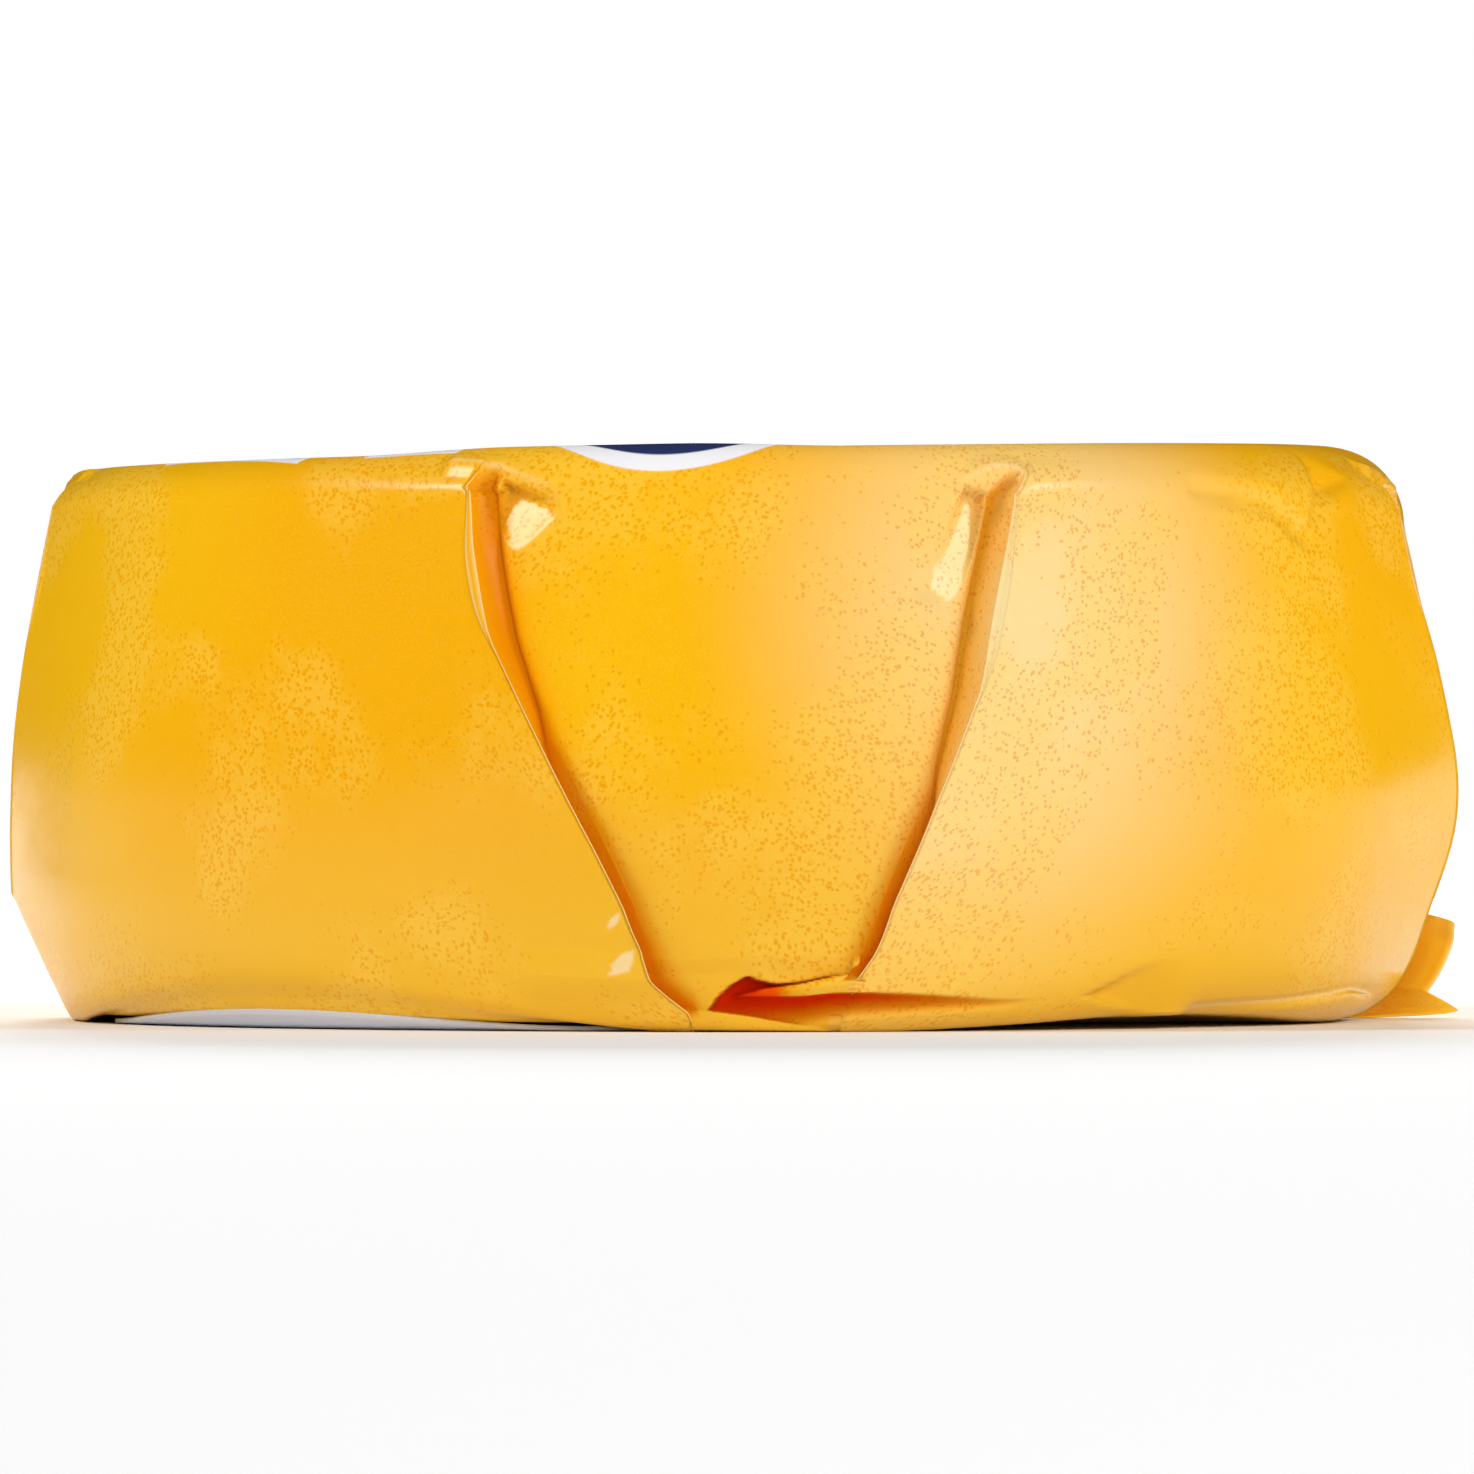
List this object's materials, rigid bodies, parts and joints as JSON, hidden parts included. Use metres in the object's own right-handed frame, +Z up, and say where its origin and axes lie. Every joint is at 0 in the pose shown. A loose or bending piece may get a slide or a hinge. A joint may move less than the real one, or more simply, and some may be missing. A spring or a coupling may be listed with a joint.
{
  "type": "wrapped tomme cheese",
  "caption": "Small round cheese shut in a glossy golden printed wrapper, pleated down the wall and closed under the base by a round white paper label.",
  "frame": {"origin": "under the middle of the pack, on the surface it stands on", "axes": "+Z up, -Y towards the front that the picture shows, +X to the right seen from the front"},
  "size_m": [0.1068, 0.1054, 0.0421],
  "materials": {
    "printed_film": "printed laminated wrapping film, satin gloss",
    "label_paper": "coated white label paper, satin"
  },
  "bodies": {
    "root": {"wrapped_pack": "printed_film", "base_label": "label_paper"}
  },
  "joints": []
}
